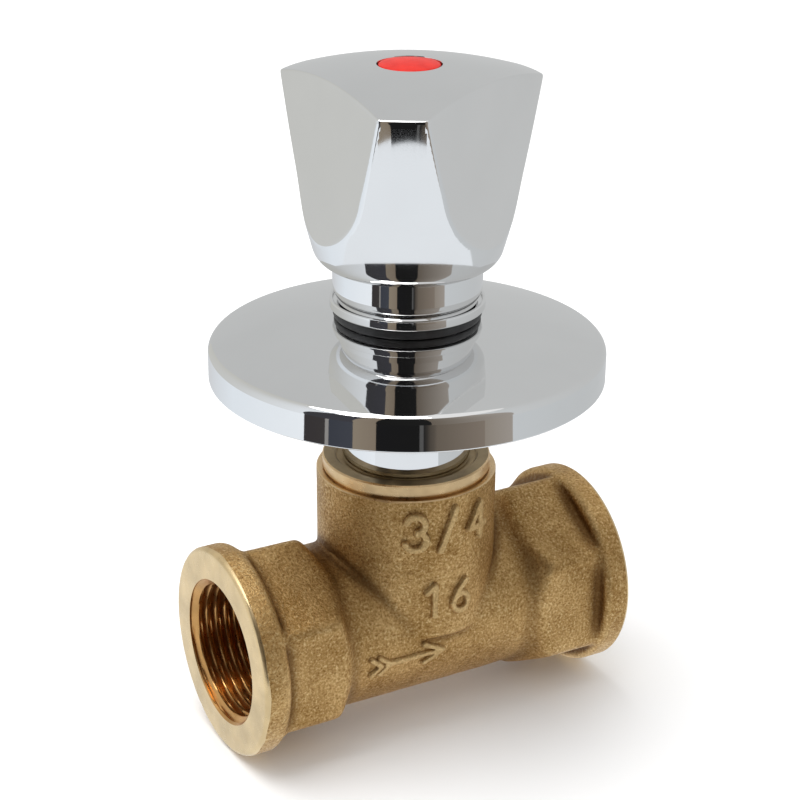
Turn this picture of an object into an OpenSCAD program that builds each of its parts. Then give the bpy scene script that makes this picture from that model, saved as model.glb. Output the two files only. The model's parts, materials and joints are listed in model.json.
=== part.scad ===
// Concealed stop valve for a wall or ceiling niche: cast body, headwork, sleeve, rosette and handle.
// Origin where the pipe axis (X, flow towards +X) crosses the spindle axis (Z, handle at the top).

/* [Body casting] */
// Length over the two socket faces
face_to_face = 75; // [66:0.5:100]
// Outer radius of the turned end faces
socket_face_r = 18; // [17:0.1:22]
// Radius of the round bead at each socket
bead_r = 18.9; // [18.4:0.1:24]
// Length of the bead from the end face
bead_len = 5.1; // [3:0.1:7]
// Width across the flats of the hexagon behind each bead
hex_af = 32.4; // [31:0.1:36]
// Radius over the hexagon's blunt cast corners
hex_corner_r = 18.35; // [17.6:0.05:19]
// Length of the hexagon
hex_len = 10.4; // [7:0.1:13]
// Outer radius of the pipe run between the hexagons
run_r = 15; // [14.2:0.1:17]
// Outer radius of the upright neck
neck_r = 16.1; // [15.6:0.1:20]
// Height of the cast neck above the pipe axis
neck_h = 28.6; // [26:0.1:34]
// Height at which the neck's round front ends over the pipe run
neck_foot_z = 1; // [-2:0.1:3]
// Outer radius of the turned spigot on the neck
spigot_r = 15; // [14.2:0.1:16]
// Height of the turned spigot
spigot_h = 2.45; // [1:0.05:4]
// Height of the raised flow arrow
mark_h = 0.55; // [0.3:0.05:1]

/* [Waterway] */
// Minor radius of the female pipe thread
thread_r = 12.06; // [11:0.01:13]
// Length of the female pipe thread and its mouth
thread_len = 16; // [12:0.1:18]
// Mouth radius of the thread's entry chamfer
mouth_r = 13.25; // [12.4:0.01:14]
// Radius of the waterway between socket and seat
waterway_r = 10; // [7:0.1:11]
// Radius of the hole through the seat
seat_hole_r = 7.5; // [5.5:0.1:8]
// Width of the raised seat lip
seat_lip_w = 1.6; // [1:0.1:1.8]
// Height of the seat lip's top above the pipe axis
seat_z = 2; // [0:0.1:3]
// Height of the seat lip over its web
seat_lip_h = 1; // [0.5:0.1:2]
// Thickness of the seat's web
web_t = 2.4; // [1.8:0.1:4]
// Thickness of the walls that part inlet and outlet
divider_t = 2; // [1.5:0.1:3]

/* [Headwork] */
// Radius of the headwork's thread in the neck
bonnet_r = 12.5; // [12.2:0.05:13.2]
// Width of the ledge that carries the headwork's gasket
ledge_w = 1; // [0.8:0.05:1.2]
// Height of that ledge above the pipe axis
ledge_z = 12; // [11.9:0.1:13]
// Thickness of the gasket
gasket_t = 1; // [0.6:0.1:1.6]
// How deep the headwork's top step lies below the spigot's top
bonnet_recess = 0.6; // [0.5:0.05:3]
// Radius of the headwork's upper thread for the sleeve
bonnet_top_r = 10.3; // [9.4:0.05:10.6]
// Length of the headwork's upper thread
bonnet_top_len = 10.6; // [10:0.1:16]
// Width across flats of the hexagon guide in the headwork
guide_af = 17; // [16.2:0.1:17.4]
// Thickness of the headwork's shoulder over the spindle's collar
shoulder_top = 30; // [29.5:0.1:31]
// Radius of the spindle's stem
stem_r = 5; // [4:0.05:6]
// Radius of the spindle's collar
collar_r = 7; // [6.2:0.1:7.8]
// Height of the spindle's collar
collar_h = 2.4; // [1.5:0.1:3]
// Radius of the spindle's driving thread
drive_r = 4; // [3:0.1:4.4]
// Length of the drive thread that hangs below the collar
drive_len = 12; // [9:0.1:13]
// Thickness of the slip washer over the collar
slip_t = 0.55; // [0.3:0.05:1]
// Cross section of the spindle's O-rings
oring_d = 1.6; // [1:0.1:2]
// Distance between the two O-rings
oring_pitch = 3.6; // [3:0.1:5]
// Thickness of the spring ring that holds the spindle
clip_t = 0.8; // [0.5:0.1:1.2]
// Outer radius of that ring
clip_r = 6.6; // [6.1:0.1:8]
// Radius of the splined drive ends
spline_r = 4; // [3.4:0.1:4.2]
// Number of notches in each spline
spline_n = 12; // [8:1:16]
// Length of the spindle's splined end
spline_len = 8; // [6:0.1:10]
// Running clearance of turning and sliding fits
run_gap = 0.05; // [0.02:0.01:0.1]

/* [Valve disc] */
// Lift of the disc from closed to fully open
lift = 5.5; // [3:0.1:5.7]
// Outer radius of the rubber washer
washer_r = 9.4; // [9.15:0.05:9.6]
// Thickness of the rubber washer
washer_t = 3; // [2:0.1:3.2]
// How deep the washer sits in its cup
cup_h = 1.45; // [0.8:0.05:1.6]
// Wall of the cup round the washer
cup_wall = 0.8; // [0.6:0.05:1]
// Thickness of the carrier's disc over the washer
disc_t = 1.95; // [1.5:0.05:2.1]
// Length of the carrier's hexagon above the disc
slider_len = 13; // [11:0.1:13.4]
// Radius of the plate under the washer
plate_r = 5; // [4:0.1:6]
// Thickness of that plate
plate_t = 1; // [0.6:0.1:1.5]
// Thread radius of the washer's screw
washer_screw_r = 2; // [1.5:0.1:2.5]

/* [Sleeve and rosette] */
// Outer radius of the chrome sleeve
sleeve_r = 11.5; // [11.2:0.05:12.2]
// Height of the sleeve's lip above the pipe axis
lip_z = 59.2; // [52:0.1:75]
// Outer radius of the lip
lip_r = 13.6; // [13.4:0.1:15]
// Thickness of the lip's floor
lip_t = 0.8; // [0.6:0.1:1.2]
// Height of the rim round the lip
lip_rim_h = 0.7; // [0.4:0.1:1]
// Width of that rim
lip_rim_w = 0.6; // [0.4:0.05:0.7]
// Outer radius of the rosette
rosette_r = 34.8; // [28:0.1:45]
// Height of the rosette's upright edge
rosette_edge_h = 6.4; // [4:0.05:8]
// Rise of the rosette's dome above its edge
rosette_rise = 4.3; // [3:0.1:8]
// Radius of the rounding at the rosette's edge
rosette_round = 1.5; // [1.1:0.1:3]
// Sheet thickness of the rosette
rosette_t = 1; // [0.6:0.1:1.5]
// Outer radius of the rosette's centre collar
collar_ring_r = 13.4; // [12.8:0.1:15]
// Outer radius of the black sealing ring
seal_r = 13.2; // [12.6:0.1:14]
// Height of the black sealing ring
seal_h = 1.7; // [1:0.1:3]

/* [Handle] */
// Radius over the handle's three corners at the top edge
handle_r = 24.1; // [22:0.1:28]
// Height of the handle from the bowl's underside to its top corners
handle_h = 31.1; // [26:0.1:40]
// Rise of the domed top above the corners
dome_rise = 3.7; // [3:0.1:6]
// Rounding radius of the bowl-shaped underside
bowl_round = 4; // [3.2:0.1:5]
// Radius at which the bowl's rounding starts
bowl_start_r = 12.6; // [12:0.1:14]
// Distance of the three side faces from the spindle axis
side_d = 15.3; // [14.5:0.1:18]
// Height above the bowl's underside below which the side faces run out
side_flare_h = 11.7; // [8:0.1:16]
// How far the side faces run out for each millimetre below that height
side_flare = 0.32; // [0.1:0.01:0.5]
// Direction of the handle's front corner when the valve is closed
handle_turned = 238; // [0:1:359]
// Wall of the hollow handle
handle_wall = 2.2; // [1.6:0.1:3]
// Outer radius of the handle's skirt
skirt_r = 13.05; // [12.6:0.05:13.4]
// Height of the skirt under the bowl
skirt_h = 6.5; // [5:0.1:9]
// Height of the chamfer at the skirt's foot
skirt_chamfer = 2.5; // [1:0.1:3]
// Outer radius of the boss round the spline bush
boss_r = 8; // [7.4:0.1:9]
// Outer radius of the spline bush
bush_r = 5.6; // [5.2:0.1:6.4]
// Length of the spline bush
bush_len = 12.5; // [8:0.1:15]
// How far the bush lies below the handle's top corners
bush_below = 10.9; // [9:0.1:14]
// Thickness of the web that the handle's screw pulls on
screw_web_t = 1.5; // [1:0.1:3]
// Radius of the handle's screw thread
handle_screw_r = 2.1; // [1.6:0.1:2.4]
// Radius of the handle's screw head
handle_screw_head_r = 4.2; // [3.6:0.1:4.6]
// Radius of the well above the screw
well_r = 4.7; // [4.6:0.1:5]
// Radius of the coloured cap
cap_r = 5.2; // [5.1:0.05:6.2]
// Gap round the coloured cap
cap_gap = 0.25; // [0.1:0.05:0.6]
// Height of the coloured cap's head
cap_h = 3.2; // [2:0.1:4]
// Radius of the ball that domes the coloured cap
cap_ball_r = 24; // [18:0.5:40]
// Length of the cap's stem in the screw's well
cap_stem_len = 3; // [2:0.1:4]

/* [Hidden] */
$fn = 96;
EPS = 0.02;
FAR = 200;

half_len = face_to_face / 2;
arrow_x = -7.8;
arrow_z = neck_foot_z - 3.2;
hex_out_x = half_len - bead_len - 1;
hex_in_x = hex_out_x - hex_len;
hex_slope_len = 2.6;
thread_end_x = half_len - thread_len;
mouth_depth = mouth_r - thread_r;

chamber_r = bonnet_r - ledge_w;
web_top = seat_z - seat_lip_h;
web_low = web_top - web_t;
low_chamber_r = run_r - 3.2;
pass_x = chamber_r + divider_t;

spigot_top = neck_h + spigot_h;
bonnet_z = ledge_z + gasket_t;
step_z = spigot_top - bonnet_recess;
bonnet_top = step_z + bonnet_top_len;

seal_gap = 0.05;
washer_z = seat_z + seal_gap;
cup_z = washer_z + washer_t;
disc_top = cup_z + disc_t;
slider_af = guide_af - 4 * run_gap;
slider_top = disc_top + slider_len;
guide_top = slider_top + lift + 1.3;
collar_top = shoulder_top - slip_t - run_gap;
collar_low = collar_top - collar_h;
drive_low = collar_low - drive_len;
thread_bore_low = drive_low - lift - 0.3;

clip_z = bonnet_top + run_gap;
stem_top = clip_z + clip_t + 1;
spline_top = stem_top + spline_len;
oring_low_z = shoulder_top + 3.2;
oring_high_z = oring_low_z + oring_pitch;
oring_mid_r = stem_r + run_gap - 0.03 - oring_d / 2;
groove_r = oring_mid_r - oring_d / 2 - 0.02;
sleeve_oring_z = step_z + bonnet_top_len * 0.62;
sleeve_oring_d = 1.1;

seal_top = lip_z - 0.1;
seal_low = seal_top - seal_h;
rosette_top = seal_low - run_gap;
rosette_bore = sleeve_r + 0.1;
dome_edge_z = rosette_top - 0.3 - rosette_rise;
rosette_low = dome_edge_z - rosette_edge_h;

skirt_low = lip_z + lip_t + 0.3;
bowl_z = skirt_low + skirt_h;
corner_z = bowl_z + handle_h;
flare_z = bowl_z + side_flare_h;
dome_top = corner_z + dome_rise;
dome_ball_r = (handle_r * handle_r + dome_rise * dome_rise) / (2 * dome_rise);
bush_top = corner_z - bush_below;
bush_low = bush_top - bush_len;
web_seat = bush_top + screw_web_t;
lock_t = 0.9;
lock_gap_w = 0.8;
screw_head_h = 3;
screw_slot_w = 1;
screw_slot_depth = 1.4;
screw_tip_z = bush_low + bush_len * 0.32;
cap_fit = 0.03;
cap_seat = dome_top - 0.2 - cap_h + 0.5;
extension_r = bush_r - 0.1;

// Round bar on the spindle axis
module rod(r, z0, z1)
    translate([0, 0, z0])
        cylinder(r = r, h = z1 - z0);

// Round tube on the spindle axis
module tube(r_out, r_in, z0, z1)
    rotate_extrude()
        translate([r_in, z0])
            square([r_out - r_in, z1 - z0]);

// Round bar on the pipe axis
module pipe_rod(r, x0, x1)
    translate([x0, 0, 0])
        rotate([0, 90, 0])
            cylinder(r = r, h = x1 - x0);

// Hexagonal bar on the spindle axis
module hex_rod(af, z0, z1)
    translate([0, 0, z0])
        cylinder(r = af / 2 / cos(30), h = z1 - z0, $fn = 6);

// O-ring
module oring(mid_r, d, z)
    rotate_extrude()
        translate([mid_r, z])
            circle(d = d, $fn = 32);

// Splined bar: a round bar with round notches
module spline_bar(r, z0, z1)
    translate([0, 0, z0])
        linear_extrude(z1 - z0)
            difference() {
                circle(r = r);
                for (i = [0 : spline_n - 1])
                    rotate((i + 0.5) * 360 / spline_n)
                        translate([r + 0.15, 0])
                            circle(r = 0.5, $fn = 24);
            }

// Outline of one socket's bead, with the end face at the top and the pipe axis at the left
module bead_outline() {
    edge = bead_r - socket_face_r;
    shoulder = hex_af / 2 + 0.9;
    dip = bead_r - shoulder;
    difference() {
        union() {
            translate([0, -bead_len + dip])
                square([bead_r, bead_len - dip - edge]);
            translate([0, -bead_len - 1.4])
                square([shoulder, bead_len + 1.4 - edge]);
            translate([0, -edge - EPS])
                square([socket_face_r, edge + EPS]);
            translate([socket_face_r, -edge])
                circle(r = edge, $fn = 48);
            translate([bead_r - dip * 0.6, -bead_len + dip])
                circle(r = dip * 0.6, $fn = 48);
        }
        translate([-bead_r, -FAR / 2])
            square([bead_r, FAR]);
    }
}

// One socket: turned face, bead and wrench hexagon, on the +X side
module socket_outside() {
    translate([half_len, 0, 0])
        rotate([0, 90, 0])
            rotate_extrude()
                bead_outline();
    intersection() {
        translate([hex_in_x - hex_slope_len, 0, 0])
            rotate([0, 90, 0])
                cylinder(r = hex_af / 2 / cos(30), h = hex_out_x + 1.2 - hex_in_x + hex_slope_len, $fn = 6);
        translate([hex_in_x - hex_slope_len, 0, 0])
            rotate([0, 90, 0])
                rotate_extrude()
                    polygon([[0, 0], [run_r - 0.6, 0], [hex_corner_r, hex_slope_len + 0.5],
                             [hex_corner_r, half_len - hex_in_x], [0, half_len - hex_in_x]]);
    }
}

// Female thread's bore with its entry chamfer, on the +X side
module socket_bore() {
    pipe_rod(thread_r, thread_end_x, half_len + 1);
    translate([half_len - mouth_depth, 0, 0])
        rotate([0, 90, 0])
            cylinder(r1 = thread_r, r2 = mouth_r + 1, h = mouth_depth + 1);
}

// Upright neck with a rounded lower end, a turned spigot and a groove at the spigot's foot
module neck_outside() {
    foot_round = 1.6;
    rotate_extrude()
        union() {
            translate([0, neck_foot_z + foot_round])
                square([neck_r, neck_h - neck_foot_z - foot_round - 0.5]);
            translate([0, neck_foot_z])
                square([neck_r - foot_round, neck_h - neck_foot_z]);
            translate([neck_r - foot_round, neck_foot_z + foot_round])
                circle(r = foot_round, $fn = 48);
            translate([0, neck_h - 0.6])
                square([neck_r - 0.5, 0.6]);
            translate([neck_r - 0.5, neck_h - 0.5])
                circle(r = 0.5, $fn = 32);
            translate([0, neck_h - EPS])
                square([spigot_r - 0.4, 0.4]);
            translate([0, neck_h + 0.3])
                square([spigot_r, spigot_h - 0.3]);
        }
}

// Raised arrow on the front of the pipe run, pointing downstream
module flow_arrow()
    intersection() {
        pipe_rod(run_r + mark_h, -hex_in_x, hex_in_x);
        translate([arrow_x, -run_r / 2, arrow_z])
            rotate([90, 0, 0])
                linear_extrude(run_r)
                    polygon([[-6.5, -1.6], [-4.8, 0], [-6.5, 1.6], [-4.2, 1.6], [-2.9, 0.5], [4, 0.5],
                             [4, 1.9], [6.8, 0], [4, -1.9], [4, -0.5], [-2.9, -0.5], [-4.2, -1.6]]);
    }

// Chambers below and above the seat and the passages that lead to them
module waterway() {
    intersection() {
        rod(chamber_r, -FAR, web_low);
        pipe_rod(low_chamber_r, -FAR, FAR);
    }
    rod(seat_hole_r, web_low - EPS, seat_z + EPS);
    difference() {
        rod(chamber_r, web_top, ledge_z + EPS);
        tube(seat_hole_r + seat_lip_w, seat_hole_r - 1, web_top - 1, seat_z);
    }
    pipe_rod(waterway_r, -thread_end_x - EPS, -pass_x);
    intersection() {
        pipe_rod(waterway_r, -pass_x - EPS, 0);
        translate([-FAR / 2, -FAR / 2, web_low - FAR])
            cube(FAR);
    }
    pipe_rod(waterway_r, pass_x, thread_end_x + EPS);
    intersection() {
        difference() {
            pipe_rod(waterway_r, 0, pass_x + EPS);
            rod(chamber_r - 1, -FAR / 2, FAR / 2);
        }
        translate([-FAR / 2, -FAR / 2, web_top])
            cube(FAR);
    }
}

module valve_body()
    color("#b08d57")
        difference() {
            union() {
                pipe_rod(run_r, -hex_in_x - 0.5, hex_in_x + 0.5);
                socket_outside();
                mirror([1, 0, 0])
                    socket_outside();
                neck_outside();
                flow_arrow();
            }
            waterway();
            socket_bore();
            mirror([1, 0, 0])
                socket_bore();
            rod(bonnet_r, ledge_z, spigot_top + 1);
            translate([0, 0, spigot_top - 0.4])
                cylinder(r1 = bonnet_r, r2 = bonnet_r + 0.9, h = 0.9);
        }

module bonnet_seal()
    color("#3c3c3c")
        tube(bonnet_r, chamber_r - 0.4, ledge_z, bonnet_z);

module bonnet()
    color("#a67c45")
        difference() {
            union() {
                rod(bonnet_r, bonnet_z, step_z);
                rod(bonnet_top_r, step_z - EPS, bonnet_top);
            }
            hex_rod(guide_af, bonnet_z - 1, guide_top);
            rod(collar_r + 0.3, guide_top - EPS, shoulder_top);
            rod(stem_r + run_gap, shoulder_top - EPS, bonnet_top + 1);
            tube(bonnet_top_r + 1, bonnet_top_r - sleeve_oring_d - 0.02,
                 sleeve_oring_z - 0.7, sleeve_oring_z + 0.7);
        }

module spindle()
    color("#c9a15a")
        difference() {
            union() {
                rod(drive_r, drive_low, collar_low + EPS);
                rod(collar_r, collar_low, collar_top);
                rod(stem_r, collar_top - EPS, stem_top);
                spline_bar(spline_r, stem_top - EPS, spline_top);
            }
            tube(stem_r + 1, groove_r, oring_low_z - oring_d * 0.62, oring_low_z + oring_d * 0.62);
            tube(stem_r + 1, groove_r, oring_high_z - oring_d * 0.62, oring_high_z + oring_d * 0.62);
            tube(stem_r + 1, stem_r - 0.7, clip_z, clip_z + clip_t);
        }

module spindle_oring_lower()
    color("#222222")
        oring(oring_mid_r, oring_d, oring_low_z);

module spindle_oring_upper()
    color("#222222")
        oring(oring_mid_r, oring_d, oring_high_z);

module thrust_washer()
    color("#e8e4d8")
        tube(collar_r, stem_r, collar_top, collar_top + slip_t);

// Spring ring with a gap, snapped into the spindle's groove
module retaining_ring()
    color("#8a8f94")
        difference() {
            tube(clip_r, stem_r - 0.7, clip_z, clip_z + clip_t);
            translate([0, -1.5, clip_z - 1])
                cube([clip_r + 2, 3, clip_t + 2]);
        }

module carrier()
    color("#c9a15a")
        difference() {
            union() {
                rod(washer_r + cup_wall, cup_z - cup_h, disc_top);
                hex_rod(slider_af, disc_top - EPS, slider_top);
            }
            rod(washer_r, cup_z - cup_h - 1, cup_z);
            rod(drive_r + run_gap, thread_bore_low, slider_top + 1);
            rod(washer_screw_r, cup_z - EPS, thread_bore_low - 0.8);
        }

module seat_washer()
    color("#2a2a2a")
        tube(washer_r, washer_screw_r, washer_z, cup_z);

module washer_plate()
    color("#9a9da0")
        tube(plate_r, washer_screw_r, washer_z - plate_t, washer_z);

module washer_screw()
    color("#b5b8ba") {
        rod(washer_screw_r, washer_z - plate_t - EPS, thread_bore_low - 1.2);
        difference() {
            rod(washer_screw_r * 1.7, washer_z - plate_t - 2, washer_z - plate_t);
            translate([-washer_screw_r * 2, -0.4, washer_z - plate_t - 3])
                cube([washer_screw_r * 4, 0.8, 2]);
        }
    }

module sleeve()
    color("#d5d8da")
        difference() {
            union() {
                rod(sleeve_r, step_z, lip_z + EPS);
                rod(lip_r, lip_z, lip_z + lip_t + lip_rim_h);
            }
            rod(bonnet_top_r, step_z - 1, lip_z + 2 * lip_t);
            rod(lip_r - lip_rim_w, lip_z + lip_t, lip_z + lip_t + lip_rim_h + EPS);
        }

module sleeve_oring()
    color("#222222")
        oring(bonnet_top_r - sleeve_oring_d / 2 - 0.01, sleeve_oring_d, sleeve_oring_z);

// Half section of the rosette's outer form, smaller all round by inset
module rosette_outline(inset) {
    ball_c = (pow(rosette_r - rosette_round, 2) - pow(collar_ring_r, 2)) / rosette_rise / 2;
    ball_z = dome_edge_z + rosette_rise / 2 - ball_c;
    ball_r = sqrt(pow(collar_ring_r, 2) + pow(dome_edge_z + rosette_rise - ball_z, 2));
    intersection() {
        union() {
            translate([0, rosette_low - (inset > 0 ? 1 : 0)])
                square([rosette_r - inset, rosette_edge_h - rosette_round + (inset > 0 ? 1 : 0)]);
            translate([0, rosette_low])
                square([rosette_r - rosette_round, rosette_edge_h + rosette_rise + 3]);
            translate([rosette_r - rosette_round, dome_edge_z - rosette_round])
                circle(r = rosette_round - inset, $fn = 48);
        }
        translate([0, ball_z])
            circle(r = ball_r - inset, $fn = 360);
        translate([0, rosette_low - 1])
            square([rosette_r, FAR]);
    }
}

module rosette()
    color("#d9dcde")
        difference() {
            union() {
                rotate_extrude()
                    difference() {
                        rosette_outline(0);
                        rosette_outline(rosette_t);
                    }
                rod(collar_ring_r, rosette_top - 1.15, rosette_top);
            }
            rod(rosette_bore, rosette_low - 1, rosette_top + 1);
        }

module rosette_seal()
    color("#161616")
        rotate_extrude()
            union() {
                translate([sleeve_r + run_gap, seal_low])
                    square([seal_r - 0.4 - sleeve_r - run_gap, seal_h]);
                translate([sleeve_r + run_gap, seal_low + 0.4])
                    square([seal_r - sleeve_r - run_gap, seal_h - 0.8]);
                for (z = [seal_low + 0.4, seal_top - 0.4])
                    translate([seal_r - 0.4, z])
                        circle(r = 0.4, $fn = 32);
            }

module spindle_extension()
    color("#c9a15a")
        difference() {
            union() {
                rod(extension_r, stem_top + 0.05, bush_low);
                spline_bar(spline_r, bush_low - EPS, bush_top - 0.5);
            }
            spline_bar(spline_r, stem_top - 1, spline_top + 0.2);
            rod(handle_screw_r, bush_low + 2, bush_top + 1);
            translate([0, 0, stem_top + spline_len / 2])
                rotate([0, 90, 0])
                    cylinder(r = 1.5, h = extension_r + 1, $fn = 48);
        }

module extension_grub_screw()
    color("#5c5f63")
        translate([spline_r, 0, stem_top + spline_len / 2])
            rotate([0, 90, 0])
                difference() {
                    cylinder(r = 1.5, h = extension_r - spline_r - 0.15, $fn = 48);
                    translate([0, 0, 0.5])
                        cylinder(r = 0.8, h = 3, $fn = 6);
                }

// Half section of the handle's round form, smaller all round by inset and cut at the given top
module handle_outline(inset, top_z) {
    run = handle_r - bowl_start_r;
    rise = handle_h - bowl_round;
    reach = sqrt(run * run + rise * rise);
    lean = atan2(run, rise) - asin(bowl_round / reach);
    touch_r = bowl_start_r + (bowl_round - inset) * cos(lean);
    touch_z = bowl_z + bowl_round - (bowl_round - inset) * sin(lean);
    rim_r = touch_r + (top_z - touch_z) * tan(lean);
    union() {
        polygon([[0, bowl_z + inset], [bowl_start_r, bowl_z + inset], [touch_r, touch_z],
                 [rim_r, top_z], [0, top_z]]);
        intersection() {
            translate([bowl_start_r, bowl_z + bowl_round])
                circle(r = bowl_round - inset, $fn = 96);
            translate([bowl_start_r - 0.5, bowl_z])
                square([bowl_round + 1, bowl_round]);
        }
    }
}

// Three-sided block that the handle's flat sides are cut to, wider below the height where they run out
module side_block(d, z0, z1)
    rotate(handle_turned) {
        translate([0, 0, flare_z])
            cylinder(r = d * 2, h = z1 - flare_z, $fn = 3);
        translate([0, 0, z0])
            cylinder(r1 = (d + side_flare * (flare_z - z0)) * 2, r2 = (d - side_flare) * 2,
                     h = flare_z - z0 + 1, $fn = 3);
    }

module handle_solid() {
    intersection() {
        rotate_extrude()
            handle_outline(0, dome_top + 1);
        side_block(side_d, bowl_z - 1, dome_top + 2);
        translate([0, 0, dome_top - dome_ball_r])
            sphere(r = dome_ball_r, $fn = 200);
    }
}

module handle_hollow() {
    hollow_top = corner_z - 1.5;
    difference() {
        intersection() {
            rotate_extrude()
                union() {
                    handle_outline(handle_wall, hollow_top);
                    translate([0, bowl_z - 1])
                        square([skirt_r - handle_wall * 0.8, bowl_round]);
                }
            side_block(side_d - handle_wall, bowl_z - 2, hollow_top);
        }
        rod(boss_r, bush_low - 2, hollow_top + 1);
    }
    rod(skirt_r - handle_wall * 0.8, skirt_low - 1, bowl_z + handle_wall);
}

module handle()
    color("#d9dcde")
        difference() {
            union() {
                handle_solid();
                rod(skirt_r, skirt_low + skirt_chamfer, bowl_z + 1);
                translate([0, 0, skirt_low])
                    cylinder(r1 = skirt_r - 0.85, r2 = skirt_r, h = skirt_chamfer);
            }
            handle_hollow();
            rod(bush_r, bush_low - 3, bush_top);
            rod(handle_screw_r + 0.4, bush_top - EPS, dome_top);
            rod(well_r, web_seat, dome_top);
            rod(cap_r + cap_gap, cap_seat, dome_top + 2);
        }

module handle_insert()
    color("#c9a15a")
        difference() {
            rod(bush_r, bush_low, bush_top);
            spline_bar(spline_r, bush_low - 1, bush_top + 1);
        }

module lock_washer()
    color("#8a8f94")
        difference() {
            tube(handle_screw_head_r, handle_screw_r, web_seat, web_seat + lock_t);
            translate([0, -lock_gap_w / 2, web_seat - lock_t])
                cube([handle_screw_head_r * 2, lock_gap_w, lock_t * 3]);
        }

module handle_screw()
    color("#b5b8ba") {
        head_z = web_seat + lock_t;
        rod(handle_screw_r, screw_tip_z, head_z + EPS);
        difference() {
            rod(handle_screw_head_r, head_z, head_z + screw_head_h);
            translate([0, 0, head_z + screw_head_h])
                cube([handle_screw_head_r * 4, screw_slot_w, screw_slot_depth * 2], center = true);
        }
    }

module index_cap()
    color("#e0372b") {
        intersection() {
            rod(cap_r, cap_seat, cap_seat + cap_h);
            translate([0, 0, cap_seat + cap_h - cap_ball_r])
                sphere(r = cap_ball_r, $fn = 120);
        }
        rod(well_r - cap_fit, cap_seat - cap_stem_len, cap_seat + EPS);
    }

valve_body();
bonnet();
bonnet_seal();
spindle();
spindle_oring_lower();
spindle_oring_upper();
thrust_washer();
retaining_ring();
carrier();
seat_washer();
washer_plate();
washer_screw();
sleeve();
sleeve_oring();
rosette();
rosette_seal();
spindle_extension();
extension_grub_screw();
handle();
handle_insert();
handle_screw();
lock_washer();
index_cap();
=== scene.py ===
import json
import math

import bpy
import numpy as np
from mathutils import Matrix, Vector


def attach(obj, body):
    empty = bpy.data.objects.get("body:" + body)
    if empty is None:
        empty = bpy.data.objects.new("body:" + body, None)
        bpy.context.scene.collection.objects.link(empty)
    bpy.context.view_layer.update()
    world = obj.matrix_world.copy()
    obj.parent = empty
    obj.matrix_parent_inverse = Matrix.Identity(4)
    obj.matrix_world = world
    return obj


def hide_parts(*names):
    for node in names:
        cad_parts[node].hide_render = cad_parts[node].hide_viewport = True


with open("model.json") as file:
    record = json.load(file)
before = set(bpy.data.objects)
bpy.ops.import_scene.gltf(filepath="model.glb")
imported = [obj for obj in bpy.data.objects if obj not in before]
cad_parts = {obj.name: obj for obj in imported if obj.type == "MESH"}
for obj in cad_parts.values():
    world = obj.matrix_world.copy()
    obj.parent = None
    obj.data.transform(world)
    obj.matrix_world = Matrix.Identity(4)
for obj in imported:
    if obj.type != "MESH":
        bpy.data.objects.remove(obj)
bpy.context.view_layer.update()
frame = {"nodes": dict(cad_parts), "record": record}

MM = 0.001

# Body casting, as in the CAD source
HALF_LENGTH = 37.5
FACE_R = 18.0
BEAD_R = 18.9
BEAD_IN_X = 32.4
HEX_FLAT = 16.2
HEX_CORNER_R = 18.35
HEX_IN_X = 21.0
HEX_SLOPE = 2.6
RUN_R = 15.0
NECK_R = 16.1
NECK_FOOT_Z = 1.0
NECK_TOP_Z = 28.6
SPIGOT_R = 15.0
SPIGOT_TOP_Z = 31.05
THREAD_R = 12.06
THREAD_MAJOR_R = 13.22
THREAD_PITCH = 1.814
THREAD_END_X = 21.5
MOUTH_R = 13.25
PASSAGE_R = 10.0
CHAMBER_R = 11.5
LOW_CHAMBER_R = 11.8
WEB_LOW_Z = -1.4
WEB_TOP_Z = 1.0
DIVIDER_X = 13.5
LEDGE_Z = 12.0
BONNET_R = 12.5
SEAT_HOLE_R = 7.5
SEAT_LIP_R = 9.1
SEAT_Z = 2.0

# Sleeve, seal ring and rosette
SLEEVE_R = 11.5
SLEEVE_IN_R = 10.3
SLEEVE_LOW_Z = 30.45
LIP_Z = 59.0
LIP_R = 13.6
LIP_FLOOR_Z = 60.0
LIP_TOP_Z = 60.7
LIP_IN_R = 13.0
SEAL_R = 13.0
SEAL_LOW_Z = 57.22
SEAL_TOP_Z = 58.95
ROSETTE_R = 34.8
ROSETTE_LOW_Z = 46.35
ROSETTE_BALL_Z = -53.16
ROSETTE_BALL_R = 111.02
ROSETTE_ROUND = 1.5
ROSETTE_SHEET = 1.0
ROSETTE_BORE_R = 11.6
COLLAR_R = 12.4
COLLAR_TOP_Z = 57.2

# Handle and its cap
SKIRT_LOW_Z = 60.3
SKIRT_FOOT_R = 12.2
SKIRT_R = 13.05
SKIRT_CHAMFER_Z = 62.8
SKIRT_IN_R = 11.29
BOWL_Z = 66.8
BOWL_START_R = 12.6
BOWL_ROUND = 4.0
RIM_R = 24.1
RIM_Z = 97.9
DOME_TOP_Z = 101.6
SIDE_D = 15.3
SIDE_FLARE_Z = 78.5
SIDE_FLARE = 0.32
FLARE_SOFT = 4.0
FRONT_CORNER = math.radians(238)
HANDLE_EDGE = 0.4
CROWN_SOFT = 0.3
RECESS_R = 5.45
RECESS_Z = 98.7
WELL_R = 4.7
WELL_Z = 88.5
CAP_R = 5.2
CAP_TOP_Z = 101.9
CAP_BALL_R = 24.0
CAP_STEM_Z = 95.7

FLOOR_Z = -19.15


# ---------------------------------------------------------------- mesh helpers

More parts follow.
